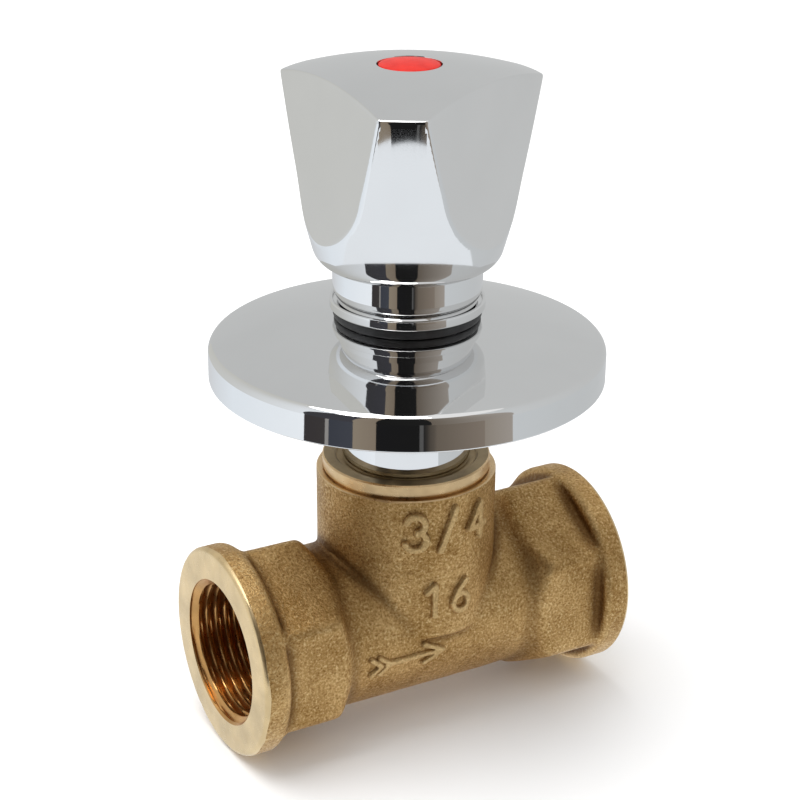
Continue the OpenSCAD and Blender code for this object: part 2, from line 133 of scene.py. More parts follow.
def mesh_object(name, verts, faces, materials, body=None, slot=None, replaces=(), crease=32.0, face_mats=None):
    """A mesh piece from millimetre points, smooth but for edges sharper than crease degrees."""
    mesh = bpy.data.meshes.new(name)
    mesh.from_pydata((np.asarray(verts, float) * MM).tolist(), [], [list(f) for f in faces])
    for material in materials:
        mesh.materials.append(material)
    if face_mats is not None:
        mesh.polygons.foreach_set("material_index", np.asarray(face_mats, np.int32))
    mesh.update()
    shade(mesh, crease)
    obj = bpy.data.objects.new(name, mesh)
    bpy.context.scene.collection.objects.link(obj)
    if body:
        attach(obj, body)
    if replaces:
        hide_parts(*replaces)
    return obj


def shade(mesh, crease):
    """Smooth shading with sharp edges over the crease angle."""
    mesh.polygons.foreach_set("use_smooth", np.ones(len(mesh.polygons), bool))
    mesh.set_sharp_from_angle(angle=math.radians(crease))


def weigh_normals(obj):
    """Lets the large faces keep their own normals beside narrow rounded edges."""
    weighted = obj.modifiers.new("weighted", "WEIGHTED_NORMAL")
    weighted.keep_sharp = True
    return obj


def arc(centre, radius, start, end, steps):
    """Points on an arc in the profile plane, angles in degrees."""
    angles = np.radians(np.linspace(start, end, steps + 1))
    return [(centre[0] + radius * math.cos(a), centre[1] + radius * math.sin(a)) for a in angles]


def rounded(points, radii, steps=5):
    """The polygon's points with each corner replaced by an arc of its radius (0 keeps it)."""
    out = []
    count = len(points)
    for i, (point, radius) in enumerate(zip(points, radii)):
        if radius <= 0:
            out.append(tuple(point))
            continue
        here = np.array(point, float)
        before = np.array(points[i - 1], float) - here
        after = np.array(points[(i + 1) % count], float) - here
        before /= np.linalg.norm(before)
        after /= np.linalg.norm(after)
        half = math.acos(np.clip(before @ after, -1, 1)) / 2
        reach = radius / math.tan(half)
        centre = here + (before + after) / np.linalg.norm(before + after) * radius / math.sin(half)
        first = here + before * reach - centre
        last = here + after * reach - centre
        a0 = math.atan2(first[1], first[0])
        turn = (math.atan2(last[1], last[0]) - a0 + math.pi) % (2 * math.pi) - math.pi
        for s in range(steps + 1):
            a = a0 + turn * s / steps
            out.append((centre[0] + radius * math.cos(a), centre[1] + radius * math.sin(a)))
    return out


def lathe(profile, segments, along="z"):
    """Verts and faces of a solid of revolution. The profile is a closed loop of (radius, height)."""
    angles = np.linspace(0, 2 * math.pi, segments, endpoint=False)
    cos, sin = np.cos(angles), np.sin(angles)
    verts, rings = [], []
    for radius, height in profile:
        rings.append((len(verts), radius > 1e-9))
        if radius > 1e-9:
            verts += [(radius * c, radius * s, height) for c, s in zip(cos, sin)]
        else:
            verts.append((0.0, 0.0, height))
    faces = []
    for (a, a_ring), (b, b_ring) in zip(rings, rings[1:] + rings[:1]):
        for i in range(segments):
            j = (i + 1) % segments
            if a_ring and b_ring:
                faces.append((a + i, a + j, b + j, b + i))
            elif a_ring:
                faces.append((a + i, a + j, b))
            elif b_ring:
                faces.append((a, b + j, b + i))
    verts = np.array(verts)
    if along == "x":
        verts = verts[:, [2, 0, 1]]
    return outward(verts, faces)


def outward(verts, faces):
    """Turns all faces over if the closed mesh is inside out."""
    triangles = np.array([(face[0], face[k], face[k + 1]) for face in faces for k in range(1, len(face) - 1)])
    a, b, c = (verts[triangles[:, k]] for k in range(3))
    if np.einsum("ij,ij", a, np.cross(b, c)) < 0:
        faces = [tuple(reversed(face)) for face in faces]
    return verts, faces


def lathe_object(name, profile, segments, materials, crease=32.0, **keywords):
    verts, faces = lathe(profile, segments)
    return weigh_normals(mesh_object(name, verts, faces, materials, crease=crease, **keywords))


# ---------------------------------------------------------------- implicit shapes

def smooth_min(a, b, k):
    h = np.clip(0.5 + 0.5 * (b - a) / k, 0, 1)
    return b + (a - b) * h - k * h * (1 - h)


def smooth_max(a, b, k):
    return -smooth_min(-a, -b, k)


def round_max(a, b, radius):
    """Intersection whose edge is rounded with the given radius."""
    a1, b1 = a + radius, b + radius
    return np.minimum(np.maximum(a1, b1), 0) + np.hypot(np.maximum(a1, 0), np.maximum(b1, 0)) - radius


def socket_distance(x, y, z):
    """Both sockets: bead, blunt-cornered hexagon and its sloping inner end."""
    ax, r = np.abs(x), np.hypot(y, z)
    flats = smooth_max(np.abs(y), np.abs(0.5 * y + 0.8660254 * z), 1.25)
    flats = smooth_max(flats, np.abs(0.5 * y - 0.8660254 * z), 1.25) - HEX_FLAT
    slope = (HEX_CORNER_R - RUN_R + 0.6) / (HEX_SLOPE + 0.5)
    ramp = (r - (RUN_R - 0.6) - (ax - HEX_IN_X + HEX_SLOPE) * slope) / math.hypot(1, slope)
    hexagon = smooth_max(flats, ramp, 1.0)
    bead = round_max(r - BEAD_R, BEAD_IN_X - ax, 1.3)
    return np.maximum(smooth_min(hexagon, bead, 0.9), ax - HALF_LENGTH - 1.2)


def outer_distance(x, y, z):
    """The cast outside: pipe run, neck and sockets, run together with soft fillets."""
    run = np.maximum(np.hypot(y, z) - RUN_R, np.abs(x) - BEAD_IN_X)
    neck = round_max(np.hypot(x, y) - NECK_R, NECK_FOOT_Z - z, 0.9)
    neck = np.maximum(neck, z - SPIGOT_TOP_Z - 1)
    body = smooth_min(run, neck, 0.7)
    return smooth_min(body, socket_distance(x, y, z), 1.4)


def waterway_distance(x, y, z):
    """The cast passages from both sockets to the seat."""
    across, upright = np.hypot(y, z), np.hypot(x, y)
    below = np.maximum(z - WEB_LOW_Z, across - PASSAGE_R)
    inlet = np.maximum(below, np.maximum(x, -x - THREAD_END_X - 1))
    under = np.maximum(np.maximum(upright - CHAMBER_R, z - WEB_LOW_Z), across - LOW_CHAMBER_R)
    inlet_bore = np.maximum(across - PASSAGE_R, np.maximum(x + DIVIDER_X, -x - THREAD_END_X - 1))
    outlet_bore = np.maximum(across - PASSAGE_R, np.maximum(DIVIDER_X - x, x - THREAD_END_X - 1))
    over = np.maximum(np.maximum(across - PASSAGE_R, WEB_TOP_Z - z), np.maximum(-x, x - DIVIDER_X - 1))
    over = np.maximum(over, CHAMBER_R - 2 - upright)
    ways = smooth_min(inlet, inlet_bore, 0.8)
    ways = smooth_min(ways, under, 0.8)
    return np.minimum(ways, smooth_min(outlet_bore, over, 0.8))


def cast_distance(x, y, z):
    return np.maximum(outer_distance(x, y, z), -waterway_distance(x, y, z))


def gradient(distance, points, eps=0.01):
    """Unit gradient of a distance function at the points."""
    out = np.empty_like(points)
    for axis in range(3):
        step = np.zeros(3)
        step[axis] = eps
        out[:, axis] = distance(*(points + step).T) - distance(*(points - step).T)
    return out / np.maximum(np.linalg.norm(out, axis=1, keepdims=True), 1e-12)


CUBE = np.array([(0, 0, 0), (1, 0, 0), (0, 1, 0), (1, 1, 0), (0, 0, 1), (1, 0, 1), (0, 1, 1), (1, 1, 1)])
CUBE_EDGES = [(a, b) for a in range(8) for b in range(a + 1, 8) if abs(CUBE[a] - CUBE[b]).sum() == 1]


def net_surface(distance, low, high, step):
    """Quads on the zero surface of a distance function, one vertex in each grid cell that it crosses."""
    axes = [np.arange(a, b + step, step) for a, b in zip(low, high)]
    field = distance(*np.meshgrid(*axes, indexing="ij"))
    inside = field < 0
    count = sum(
        inside[i : field.shape[0] - 1 + i, j : field.shape[1] - 1 + j, k : field.shape[2] - 1 + k].astype(np.int8)
        for i, j, k in CUBE
    )
    cells = np.argwhere((count > 0) & (count < 8))
    number = np.full(count.shape, -1, np.int64)
    number[tuple(cells.T)] = np.arange(len(cells))
    values = np.stack([field[tuple((cells + c).T)] for c in CUBE], 1)
    total, hits = np.zeros((len(cells), 3)), np.zeros(len(cells))
    for a, b in CUBE_EDGES:
        va, vb = values[:, a], values[:, b]
        crossed = (va < 0) != (vb < 0)
        t = np.where(crossed, va / np.where(crossed, va - vb, 1), 0)
        total += crossed[:, None] * (CUBE[a] + t[:, None] * (CUBE[b] - CUBE[a]))
        hits += crossed
    points = np.array([a[0] for a in axes]) + step * (cells + total / hits[:, None])
    faces = []
    for axis in range(3):
        other = [k for k in range(3) if k != axis]
        front = [slice(1, -1)] * 3
        back = [slice(1, -1)] * 3
        front[axis], back[axis] = slice(0, -1), slice(1, None)
        one, two = inside[tuple(front)], inside[tuple(back)]
        edges = np.argwhere(one != two)
        solid_first = one[tuple(edges.T)]
        base = edges.copy()
        for k in other:
            base[:, k] += 1
        corners = []
        for u, v in ((-1, -1), (0, -1), (0, 0), (-1, 0)):
            cell = base.copy()
            cell[:, other[0]] += u
            cell[:, other[1]] += v
            corners.append(number[tuple(cell.T)])
        quads = np.stack(corners, 1)
        flip = solid_first if axis == 1 else ~solid_first
        quads[flip] = quads[flip][:, ::-1]
        faces.append(quads)
    faces = np.concatenate(faces)
    for _ in range(3):
        points -= gradient(distance, points) * np.clip(distance(*points.T), -step, step)[:, None] * 0.9
    return points, faces


def lattice_noise(points, size, seed):
    """Smooth value noise between -1 and 1 with features of the given size in millimetres."""
    rng = np.random.default_rng(seed)
    lattice = rng.uniform(-1, 1, (32, 32, 32))
    where = points / size + 1000
    cell = np.floor(where).astype(int)
    part = where - cell
    part = part * part * (3 - 2 * part)
    out = np.zeros(len(points))
    for c in CUBE:
        weight = np.prod(np.where(c, part, 1 - part), axis=1)
        out += weight * lattice[tuple(((cell + c) % 32).T)]
    return out


def cut(obj, cutters):
    """Subtracts the cutters; the cut faces take the cutters' materials."""
    for cutter in cutters:
        boolean = obj.modifiers.new("cut", "BOOLEAN")
        boolean.operation = "DIFFERENCE"
        boolean.solver = "MANIFOLD"
        boolean.material_mode = "TRANSFER"
        boolean.object = cutter
    evaluated = obj.evaluated_get(bpy.context.evaluated_depsgraph_get())
    mesh = bpy.data.meshes.new_from_object(evaluated)
    obj.modifiers.clear()
    obj.data = mesh
    for cutter in cutters:
        bpy.data.objects.remove(cutter)
    return obj


# ---------------------------------------------------------------- material helpers

class Nodes:
    """Short calls that build one node material."""

    def __init__(self, name):
        self.material = bpy.data.materials.new(name)
        self.material.use_nodes = True
        self.tree = self.material.node_tree
        self.tree.nodes.clear()
        self.out = self.tree.nodes.new("ShaderNodeOutputMaterial")
        self.shader = self.tree.nodes.new("ShaderNodeBsdfPrincipled")
        self.tree.links.new(self.shader.outputs[0], self.out.inputs["Surface"])
        self.place = self.tree.nodes.new("ShaderNodeTexCoord").outputs["Object"]

    def put(self, target, value):
        if isinstance(value, bpy.types.NodeSocket):
            self.tree.links.new(value, target)
        else:
            target.default_value = value

    def set(self, **values):
        """Sets the shader's sockets: numbers on the socket itself, node outputs by a link."""
        for key, value in values.items():
            self.put(self.shader.inputs[key.replace("_", " ")], value)

    def noise(self, size_mm, detail=2.0, rough=0.5, stretch=(1, 1, 1), warp=0.0):
        mapping = self.tree.nodes.new("ShaderNodeMapping")
        self.tree.links.new(self.place, mapping.inputs["Vector"])
        mapping.inputs["Scale"].default_value = [s / (size_mm * MM) for s in stretch]
        node = self.tree.nodes.new("ShaderNodeTexNoise")
        self.tree.links.new(mapping.outputs[0], node.inputs["Vector"])
        node.inputs["Scale"].default_value = 1.0
        node.inputs["Detail"].default_value = detail
        node.inputs["Roughness"].default_value = rough
        node.inputs["Distortion"].default_value = warp
        return node.outputs["Fac"]

    def ramp(self, value, stops):
        """A colour ramp; stops are (position, colour) with colours as linear RGB."""
        node = self.tree.nodes.new("ShaderNodeValToRGB")
        self.tree.links.new(value, node.inputs["Fac"])
        elements = node.color_ramp.elements
        while len(elements) < len(stops):
            elements.new(0.5)
        for element, (position, colour) in zip(elements, stops):
            element.position = position
            element.color = (*colour, 1)
        return node.outputs["Color"]

    def spread(self, value, low, high, new_low, new_high):
        node = self.tree.nodes.new("ShaderNodeMapRange")
        self.tree.links.new(value, node.inputs["Value"])
        for key, number in zip(("From Min", "From Max", "To Min", "To Max"), (low, high, new_low, new_high)):
            node.inputs[key].default_value = number
        return node.outputs["Result"]

    def math(self, operation, a, b=0.0):
        node = self.tree.nodes.new("ShaderNodeMath")
        node.operation = operation
        self.put(node.inputs[0], a)
        self.put(node.inputs[1], b)
        return node.outputs[0]

    def mix(self, factor, a, b, blend="MIX"):
        node = self.tree.nodes.new("ShaderNodeMix")
        node.data_type = "RGBA"
        node.blend_type = blend
        self.put(node.inputs["Factor"], factor)
        for key, value in (("A", a), ("B", b)):
            socket = [s for s in node.inputs if s.name == key and s.type == "RGBA"][0]
            self.put(socket, value if isinstance(value, bpy.types.NodeSocket) else (*value, 1))
        return [s for s in node.outputs if s.type == "RGBA"][0]

    def attribute(self, name):
        node = self.tree.nodes.new("ShaderNodeAttribute")
        node.attribute_name = name
        return node.outputs["Fac"]

    def bump(self, height, depth_mm, strength=1.0, after=None):
        node = self.tree.nodes.new("ShaderNodeBump")
        self.tree.links.new(height, node.inputs["Height"])
        node.inputs["Distance"].default_value = depth_mm * MM
        node.inputs["Strength"].default_value = strength
        if after is not None:
            self.tree.links.new(after, node.inputs["Normal"])
        return node.outputs["Normal"]


def cast_brass():
    """Sand-cast skin: fine grain, pitted in places, with painted shade darkening the hollows and a painted highlight
    paling what sticks out.
    """
    n = Nodes("cast_brass")
    grain = n.noise(0.44, detail=4, rough=0.7)
    coarse = n.noise(1.3, detail=2)
    cloud = n.noise(8.0, detail=3)
    base = n.ramp(cloud, [(0.3, (0.49, 0.295, 0.105)), (0.7, (0.72, 0.475, 0.205))])
    speck = n.ramp(grain, [(0.34, (0.48, 0.37, 0.25)), (0.50, (0.88, 0.85, 0.80)), (0.64, (1.0, 1.0, 1.0))])
    colour = n.mix(0.85, base, speck, "MULTIPLY")
    colour = n.mix(n.spread(grain, 0.55, 0.67, 0.0, 0.6), colour, (0.94, 0.74, 0.41))
    # Painted shade: darkens the skin where it is hollow.
    hollow = n.attribute("hollow")
    colour = n.mix(n.spread(hollow, 0.0, 1.0, 0.0, 0.85), colour, (0.16, 0.075, 0.022))
    # Painted highlight: pales the skin where it is proud.
    colour = n.mix(n.spread(n.attribute("painted_ridge_highlight"), 0.0, 1.0, 0.0, 0.5), colour, (0.85, 0.64, 0.33))
    n.set(Base_Color=colour, Metallic=1.0, Roughness=n.spread(grain, 0.35, 0.65, 0.60, 0.34))
    normal = n.bump(coarse, 0.16, 0.8)
    n.set(Normal=n.bump(grain, 0.16, 1.0, normal))
    return n.material


def turned_brass(name="turned_brass", axis="x", colour=(0.72, 0.54, 0.32), rough=(0.22, 0.36)):
    """Faced or turned brass: fine tool rings and a light tarnish."""
    n = Nodes(name)
    cloud = n.noise(6.0, detail=3)
    rings = n.noise(0.16, detail=1, stretch=(1, 0.02, 0.02) if axis == "x" else (0.02, 0.02, 1))
    scuff = n.noise(1.4, detail=4, rough=0.7)
    light = [min(1.0, c * 1.12) for c in colour]
    dark = [c * 0.82 for c in colour]
    n.set(Base_Color=n.ramp(cloud, [(0.3, dark), (0.72, light)]), Metallic=1.0)
    n.set(Roughness=n.spread(scuff, 0.3, 0.7, *rough))
    n.set(Normal=n.bump(rings, 0.012, 0.5, n.bump(scuff, 0.015, 0.3)))
    return n.material


def chrome(name, rough=0.03, tint=(0.83, 0.83, 0.83), wave=0.006):
    """Chrome plate: mirror, with the faint waves of the polished part below it and hairline marks."""
    n = Nodes(name)
    wide = n.noise(7.0, detail=1)
    film = n.noise(14.0, detail=3)
    hair = n.noise(0.5, detail=2, stretch=(1, 1, 0.06))
    n.set(Base_Color=n.ramp(film, [(0.3, [c * 0.97 for c in tint]), (0.7, tint)]), Metallic=1.0)
    n.set(Roughness=n.spread(hair, 0.3, 0.8, rough, rough * 1.3))
    n.set(Normal=n.bump(wide, wave, 0.5))
    return n.material


def rubber(name, colour=(0.012, 0.012, 0.013), rough=0.42):
    """Moulded black rubber with a faint bloom."""
    n = Nodes(name)
    bloom = n.noise(1.5, detail=3)
    fine = n.noise(0.12, detail=2)
    n.set(Base_Color=n.ramp(bloom, [(0.35, colour), (0.75, [c * 2.2 for c in colour])]))
    n.set(Roughness=n.spread(fine, 0.3, 0.7, rough - 0.08, rough + 0.12))
    n.set(Normal=n.bump(fine, 0.01, 0.5))
    return n.material


def red_plastic():
    """Glossy moulded red plastic with a faint mottle and rare dust pits."""
    n = Nodes("index_red")
    mottle = n.noise(2.0, detail=2)
    pits = n.noise(0.2, detail=1)
    n.set(Base_Color=n.ramp(mottle, [(0.3, (0.56, 0.016, 0.010)), (0.7, (0.66, 0.024, 0.014))]))
    n.set(Roughness=n.spread(pits, 0.3, 0.8, 0.34, 0.44), IOR=1.4)
    n.set(Specular_IOR_Level=0.2)
    n.set(Normal=n.bump(pits, 0.004, 0.4))
    return n.material


def steel():
    n = Nodes("steel")
    brushed = n.noise(0.3, detail=2, stretch=(1, 1, 0.1))
    n.set(Base_Color=n.ramp(brushed, [(0.3, (0.42, 0.42, 0.43)), (0.7, (0.58, 0.58, 0.60))]), Metallic=1.0)
    n.set(Roughness=n.spread(brushed, 0.3, 0.7, 0.25, 0.4), Normal=n.bump(brushed, 0.01, 0.5))
    return n.material


def slip_plastic():
    n = Nodes("slip_plastic")
    cloud = n.noise(1.0, detail=2)
    n.set(Base_Color=n.ramp(cloud, [(0.3, (0.66, 0.64, 0.56)), (0.7, (0.76, 0.74, 0.66))]))
    n.set(Roughness=n.spread(cloud, 0.3, 0.7, 0.4, 0.55), Normal=n.bump(cloud, 0.01, 0.4))
    return n.material


def fibre():
    n = Nodes("fibre_seal")
    strands = n.noise(0.25, detail=4, rough=0.8)
    n.set(Base_Color=n.ramp(strands, [(0.3, (0.03, 0.03, 0.03)), (0.7, (0.09, 0.09, 0.088))]))
    n.set(Roughness=n.spread(strands, 0.3, 0.7, 0.7, 0.9), Normal=n.bump(strands, 0.03, 0.6))
    return n.material


# ---------------------------------------------------------------- body casting

def thread_cutter(side, material):
    """What a tap leaves in one socket: a helical thread with an entry chamfer, out to past the end face."""
    segments, per_pitch = 108, 10
    x_from, x_to = THREAD_END_X, HALF_LENGTH + 1.0
    heights = np.arange(x_from, x_to + 1e-6, THREAD_PITCH / per_pitch)
    heights = np.append(heights[heights < x_to - 0.02], x_to)
    angles = np.linspace(0, 2 * math.pi, segments, endpoint=False)
    x, a = np.meshgrid(heights, angles, indexing="ij")
    phase = (x / THREAD_PITCH - a / (2 * math.pi)) % 1.0
    tooth = np.clip((np.abs(phase - 0.5) - 0.09) / 0.32, 0, 1)
    depth = (THREAD_MAJOR_R - THREAD_R) * (1 - tooth * tooth * (3 - 2 * tooth) * 0.35 - tooth * 0.65)
    fade = np.clip((x - x_from) / 2.2, 0, 1)
    r = THREAD_R + depth * fade
    r = np.maximum(r, np.minimum(MOUTH_R + (x - HALF_LENGTH), MOUTH_R + 1))
    rings = np.stack([x * side, r * np.cos(a), r * np.sin(a)], -1).reshape(-1, 3)
    rows = len(heights)
    verts = np.vstack([rings, [(x_from * side, 0, 0), (x_to * side, 0, 0)]])
    faces = []
    for i in range(rows - 1):
        for j in range(segments):
            k = (j + 1) % segments
            faces.append((i * segments + j, (i + 1) * segments + j, (i + 1) * segments + k, i * segments + k))
    low, high = rows * segments, rows * segments + 1
    for j in range(segments):
        k = (j + 1) % segments
        faces.append((low, j, k))
        faces.append((high, (rows - 1) * segments + k, (rows - 1) * segments + j))
    verts, faces = outward(verts, faces)
    return mesh_object("thread_cutter", verts, faces, [material])


def face_cutter(side, material):
    """What the facing tool removes at one end: the raw end and the edge, left with a small round."""
    edge = BEAD_R - FACE_R
    profile = [(0.0, HALF_LENGTH), (FACE_R, HALF_LENGTH)]
    profile += arc((FACE_R, HALF_LENGTH - edge), edge, 90, 12, 6)[1:]
    profile += [(BEAD_R + 0.6, HALF_LENGTH - edge - 0.5), (BEAD_R + 2, HALF_LENGTH - edge - 0.5)]
    profile += [(BEAD_R + 2, HALF_LENGTH + 3), (0.0, HALF_LENGTH + 3)]
    verts, faces = lathe([(r, h * side) for r, h in profile], 160, "x")
    return mesh_object("face_cutter", verts, faces, [material])


def neck_cutter(material):
    """What is turned off round the spigot, with the groove at its foot."""
    profile = [(0.0, SPIGOT_TOP_Z + 1), (SPIGOT_R - 1.25, SPIGOT_TOP_Z + 1), (SPIGOT_R, SPIGOT_TOP_Z - 0.25),
               (SPIGOT_R, NECK_TOP_Z + 0.34), (SPIGOT_R - 0.4, NECK_TOP_Z + 0.3), (SPIGOT_R - 0.4, NECK_TOP_Z),
               (NECK_R - 0.2, NECK_TOP_Z), (NECK_R + 0.25, NECK_TOP_Z - 0.45), (NECK_R + 2, NECK_TOP_Z - 0.45),
               (NECK_R + 2, SPIGOT_TOP_Z + 3), (0.0, SPIGOT_TOP_Z + 3)]
    verts, faces = lathe(profile, 160)
    return mesh_object("neck_cutter", verts, faces, [material])


def top_cutter(material):
    """What is faced off over the spigot."""
    profile = [(0.0, SPIGOT_TOP_Z), (SPIGOT_R - 0.26, SPIGOT_TOP_Z), (SPIGOT_R + 2, SPIGOT_TOP_Z + 2.26),
               (SPIGOT_R + 2, SPIGOT_TOP_Z + 3), (0.0, SPIGOT_TOP_Z + 3)]
    verts, faces = lathe(profile, 160)
    return mesh_object("top_cutter", verts, faces, [material])


def bore_cutter(material):
    """The headwork's thread bore, its ledge, the chamber and the seat with its lip."""
    profile = [(0.0, WEB_LOW_Z - 0.4), (SEAT_HOLE_R, WEB_LOW_Z - 0.4), (SEAT_HOLE_R, SEAT_Z - 0.2),
               (SEAT_HOLE_R + 0.3, SEAT_Z), (SEAT_LIP_R - 0.3, SEAT_Z), (SEAT_LIP_R, SEAT_Z - 0.3),
               (SEAT_LIP_R, WEB_TOP_Z), (CHAMBER_R, WEB_TOP_Z), (CHAMBER_R, LEDGE_Z), (BONNET_R, LEDGE_Z),
               (BONNET_R, SPIGOT_TOP_Z - 0.4), (BONNET_R + 0.9, SPIGOT_TOP_Z + 0.5), (0.0, SPIGOT_TOP_Z + 0.5)]
    verts, faces = lathe(profile, 128)
    return mesh_object("bore_cutter", verts, faces, [material])


def build_body():
    """The casting with its fillets and uneven skin, then faced, threaded and bored."""
    cast = cast_brass()
    faced = turned_brass("faced_brass", "x", (0.80, 0.60, 0.33), (0.24, 0.38))
    necked = turned_brass("necked_brass", "z", (0.80, 0.57, 0.31), (0.24, 0.38))
    tapped = turned_brass("tapped_brass", "x", (0.62, 0.34, 0.12), (0.24, 0.38))
    points, faces = net_surface(cast_distance, (-40, -20.5, -20.5), (40, 20.5, 33.5), 0.5)
    normals = gradient(outer_distance, points, 0.05)
    lumps = lattice_noise(points, 9.0, 3) * 0.085 + lattice_noise(points, 4.0, 4) * 0.045
    lumps += lattice_noise(points, 1.6, 5) * 0.018
    on_skin = np.abs(outer_distance(*points.T)) < 0.3
    points += normals * (lumps * on_skin * calm_near_marks(points))[:, None]
    body = mesh_object("body_casting", points, faces, [cast], "valve", "cast_brass", ("valve_body",))
    # A much darker brass than the faced ends, for the spigot's top face and the bores.
    darker_brass = turned_brass("darker_turned_brass", "z", (0.38, 0.28, 0.15), (0.32, 0.46))
    cutters = [face_cutter(-1, faced), face_cutter(1, faced), neck_cutter(necked), top_cutter(darker_brass),
               bore_cutter(darker_brass),
               thread_cutter(-1, tapped), thread_cutter(1, tapped)]
    cut(body, cutters)
    shade(body.data, 30)
    tone_skin(body.data)
    return body, cast


def calm_near_marks(points):
    """0 close to the raised marks, where the skin is kept even, and 1 elsewhere."""
    front = np.clip((-points[:, 1] - 11) / 3, 0, 1)
    marks = np.zeros(len(points))
    for (x0, x1, z0, z1) in MARK_AREAS:
        dx = np.maximum(np.maximum(x0 - points[:, 0], points[:, 0] - x1), 0)
        dz = np.maximum(np.maximum(z0 - points[:, 2], points[:, 2] - z1), 0)
        marks = np.maximum(marks, np.clip(1 - np.hypot(dx, dz) / 2.0, 0, 1))
    return 1 - marks * front * 0.85


def tone_skin(mesh):
    """Stores how hollow or how proud the skin is at each vertex, for the cast material's painted shade in the hollows
    and painted highlight on what is proud.
    """
    count = len(mesh.vertices)
    flat = np.empty(count * 3)
    mesh.vertices.foreach_get("co", flat)
    points = flat.reshape(-1, 3) / MM
    reach = 1.1
    normals = gradient(outer_distance, points, 0.05)
    outside = points + normals * reach
    around = np.zeros(count)
    first = np.cross(normals, [0.31, 0.52, 0.79])
    first /= np.linalg.norm(first, axis=1, keepdims=True)
    second = np.cross(normals, first)
    for k in range(8):
        a = k * math.pi / 4
        ray = outside + (first * math.cos(a) + second * math.sin(a)) * 1.6
        around += outer_distance(*ray.T)
    bend = around / 8 - reach
    # The hollow value feeds the painted shade and the ridge value feeds the painted highlight.
    for name, values in (("hollow", np.clip(-bend / 0.55, 0, 1)), ("painted_ridge_highlight", np.clip((bend - 0.12) / 0.5, 0, 1))):
        layer = mesh.attributes.new(name, "FLOAT", "POINT")
        layer.data.foreach_set("value", values.astype(np.float32))


# ---------------------------------------------------------------- raised marks on the casting

MARK_AREAS = [(-8.5, 8.5, 18.5, 27), (-5, 5, 5, 13), (-16, 0, -6, 2)]


def stroke_distance(u, v, strokes):
    """Distance from grid points to the nearest of the polylines."""
    best = np.full(u.shape, 1e9)
    for stroke in strokes:
        for (x0, y0), (x1, y1) in zip(stroke, stroke[1:]):
            dx, dy = x1 - x0, y1 - y0
            t = np.clip(((u - x0) * dx + (v - y0) * dy) / (dx * dx + dy * dy), 0, 1)
            best = np.minimum(best, np.hypot(u - x0 - t * dx, v - y0 - t * dy))
    return best


def bend_arc(cx, cy, rx, ry, start, end, steps=10):
    angles = np.radians(np.linspace(start, end, steps + 1))
    return [(cx + rx * math.cos(a), cy + ry * math.sin(a)) for a in angles]


def digit_strokes(text, height, pitch):
    """Stroke polylines of plain numbers, centred on the origin."""
    shapes = {
        "3": [bend_arc(0.26, 0.74, 0.25, 0.26, 160, -80) + bend_arc(0.26, 0.27, 0.29, 0.27, 75, -160)],
        "4": [[(0.42, 0.0), (0.42, 1.0), (0.0, 0.34), (0.60, 0.34)]],
        "/": [[(0.02, -0.08), (0.46, 1.08)]],
        "1": [[(0.06, 0.78), (0.30, 1.0), (0.30, 0.0)]],
        "6": [[(0.46, 0.98), (0.20, 0.72), (0.05, 0.40)], bend_arc(0.29, 0.28, 0.27, 0.28, 155, 515, 18)],
    }
    out = []
    start = -(len(text) - 1) * pitch / 2
    for i, character in enumerate(text):
        for stroke in shapes[character]:
            out.append([(start + i * pitch + (x - 0.29) * height, (y - 0.5) * height) for x, y in stroke])
    return out


def raised_mark(name, cast, radius, centre, size, strokes, width, height, upright, step=0.13):
    """Soft raised strokes on a cylinder: a fine patch that rises out of the skin along them, with painted shade at
    their foot and a painted highlight on their tops.
    """
    across, tall = size
    columns, rows = int(across / step) + 1, int(tall / step) + 1
    u, v = np.meshgrid(np.linspace(-across / 2, across / 2, columns), np.linspace(-tall / 2, tall / 2, rows))
    flat = np.stack([u.ravel(), v.ravel(), 0 * u.ravel()], 1)
    wobble = lattice_noise(flat + 7, 1.3, 11) * 0.10 + lattice_noise(flat, 0.5, 12) * 0.05
    gap = stroke_distance(u.ravel(), v.ravel(), strokes) + wobble
    rise = np.clip((width / 2 + 0.20 - gap) / 0.40, 0, 1)
    rise = rise * rise * (3 - 2 * rise) * (height + 0.1) - 0.1
    rise += lattice_noise(flat, 0.8, 13) * 0.02
    r = radius + rise
    if upright:
        angle = -math.pi / 2 + (centre[0] + u.ravel()) / radius
        verts = np.stack([r * np.cos(angle), r * np.sin(angle), centre[1] + v.ravel()], 1)
    else:
        angle = (centre[1] + v.ravel()) / radius
        verts = np.stack([centre[0] + u.ravel(), -r * np.cos(angle), r * np.sin(angle)], 1)
    faces = []
    keep = (rise > -0.0999).reshape(rows, columns)
    for i in range(rows - 1):
        for j in range(columns - 1):
            if keep[i : i + 2, j : j + 2].any():
                a = i * columns + j
                faces.append((a, a + 1, a + columns + 1, a + columns))
    used = np.unique(np.array(faces))
    renumber = np.full(len(verts), -1)
    renumber[used] = np.arange(len(used))
    obj = mesh_object(name, verts[used], renumber[np.array(faces)], [cast], "valve", "cast_brass", crease=60)
    # Painted shade along the foot of each stroke and a painted highlight along its top, for the cast material.
    foot = np.clip(1 - np.abs(rise[used] - 0.03) / 0.18, 0, 1) * 0.8
    for key, values in (("hollow", foot), ("painted_ridge_highlight", np.clip(rise[used] / height, 0, 1) * 0.8)):
        layer = obj.data.attributes.new(key, "FLOAT", "POINT")
        layer.data.foreach_set("value", values.astype(np.float32))
    return obj


